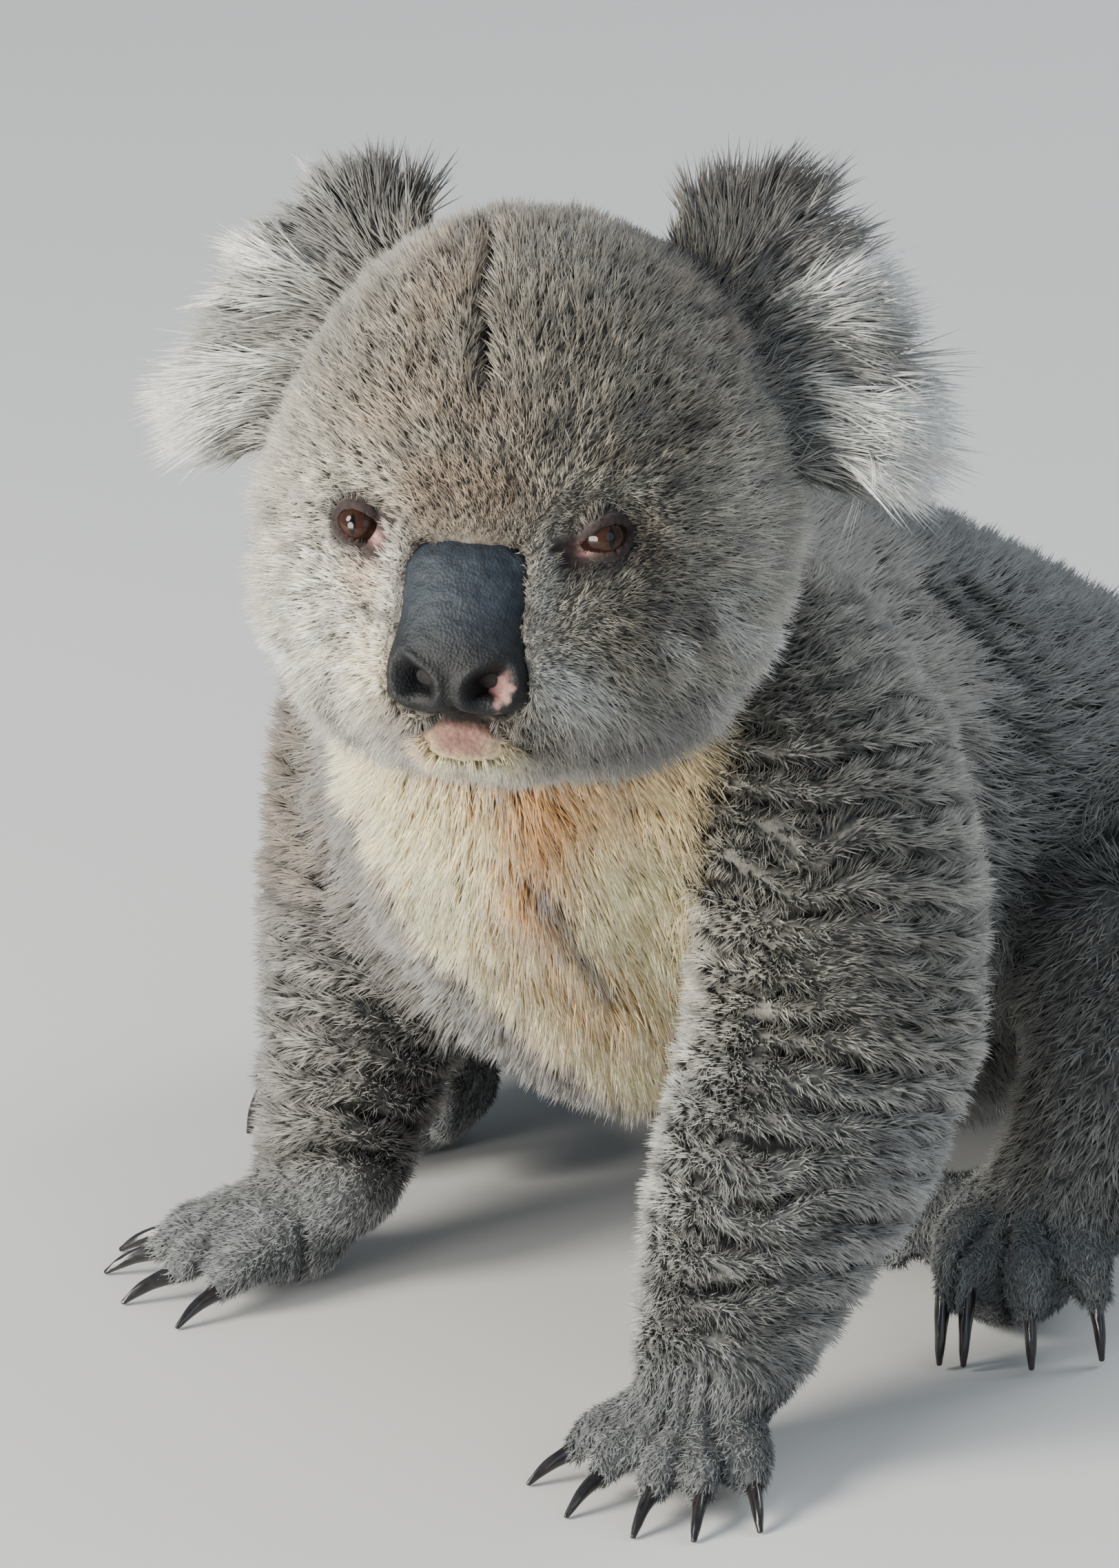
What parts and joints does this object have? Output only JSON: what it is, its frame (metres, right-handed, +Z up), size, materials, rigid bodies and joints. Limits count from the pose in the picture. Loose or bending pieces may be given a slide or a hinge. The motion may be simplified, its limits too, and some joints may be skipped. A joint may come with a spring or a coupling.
{
  "type": "koala",
  "caption": "Life-size adult koala sitting on its rump with its forepaws planted ahead and its head turned to its left.",
  "frame": {"origin": "on the floor, under the middle of the koala's box", "axes": "+Z up; the koala's body faces -Y, so +X is its left side and +Y runs back to its rump"},
  "size_m": [0.3522, 0.5056, 0.384],
  "materials": {
    "grey_coat": "woolly grey-brown coat, ticked light and dark",
    "head_coat": "short dense coat, brown on the crown and paler on the cheeks",
    "pale_coat": "cream bib",
    "ear_coat": "long white fringe over grey",
    "paw_coat": "short pale grey coat",
    "lip": "pink bare lip and short chin hair",
    "nose": "bare leathery slate pad",
    "eye": "wet brown eye",
    "horn": "black polished horn"
  },
  "bodies": {
    "root": {"head": "head_coat", "jaw": "lip", "nose": "nose", "eye_left": "eye", "ear_left": "ear_coat", "eye_right": "eye", "ear_right": "ear_coat", "neck": "pale_coat", "chest": "pale_coat", "trunk": "grey_coat", "rump": "grey_coat", "upper_arm_left": "grey_coat", "forearm_left": "grey_coat", "hand_left": "paw_coat", "hand_left_claw_1": "horn", "hand_left_claw_2": "horn", "hand_left_claw_3": "horn", "hand_left_claw_4": "horn", "hand_left_claw_5": "horn", "thigh_left": "grey_coat", "shank_left": "grey_coat", "foot_left": "paw_coat", "foot_left_claw_1": "horn", "foot_left_claw_2": "horn", "foot_left_claw_3": "horn", "foot_left_claw_4": "horn", "upper_arm_right": "grey_coat", "forearm_right": "grey_coat", "hand_right": "paw_coat", "hand_right_claw_1": "horn", "hand_right_claw_2": "horn", "hand_right_claw_3": "horn", "hand_right_claw_4": "horn", "hand_right_claw_5": "horn", "thigh_right": "grey_coat", "shank_right": "grey_coat", "foot_right": "paw_coat", "foot_right_claw_1": "horn", "foot_right_claw_2": "horn", "foot_right_claw_3": "horn", "foot_right_claw_4": "horn"}
  },
  "joints": []
}
